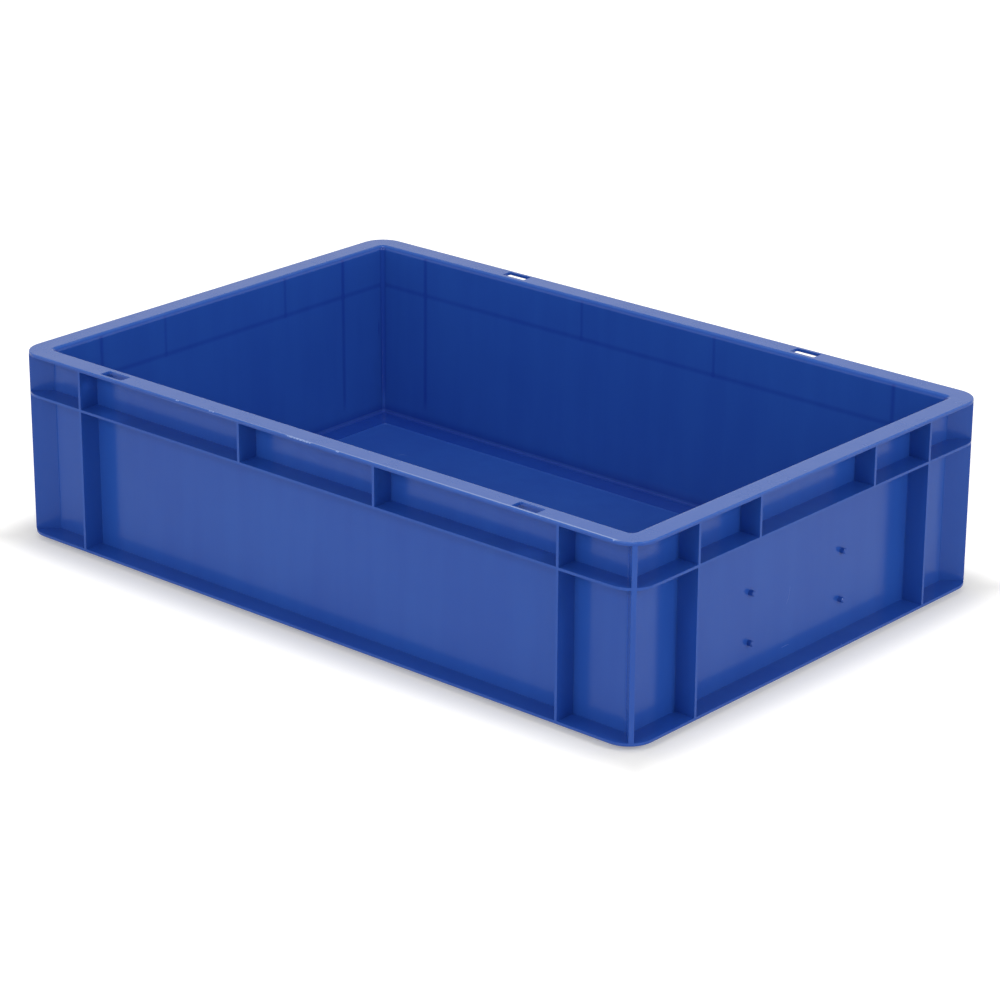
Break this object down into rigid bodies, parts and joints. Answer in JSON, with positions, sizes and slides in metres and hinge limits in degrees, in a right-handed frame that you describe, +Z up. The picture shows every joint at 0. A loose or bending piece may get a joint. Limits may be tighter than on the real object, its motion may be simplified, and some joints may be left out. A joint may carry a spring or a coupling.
{
  "type": "euro container",
  "caption": "Shallow open-top stacking container of the euro footprint, with a flat rim, stiffening flanges, upright ribs, lid slots in the rim and label studs on the short sides.",
  "frame": {"origin": "on the floor, under the middle of the foot", "axes": "+X along the long side, +Y towards the long side whose rim slots lie closer together, +Z up"},
  "size_m": [0.6, 0.4, 0.15],
  "materials": {
    "container": "satin"
  },
  "bodies": {
    "root": {"container": "container"}
  },
  "joints": []
}
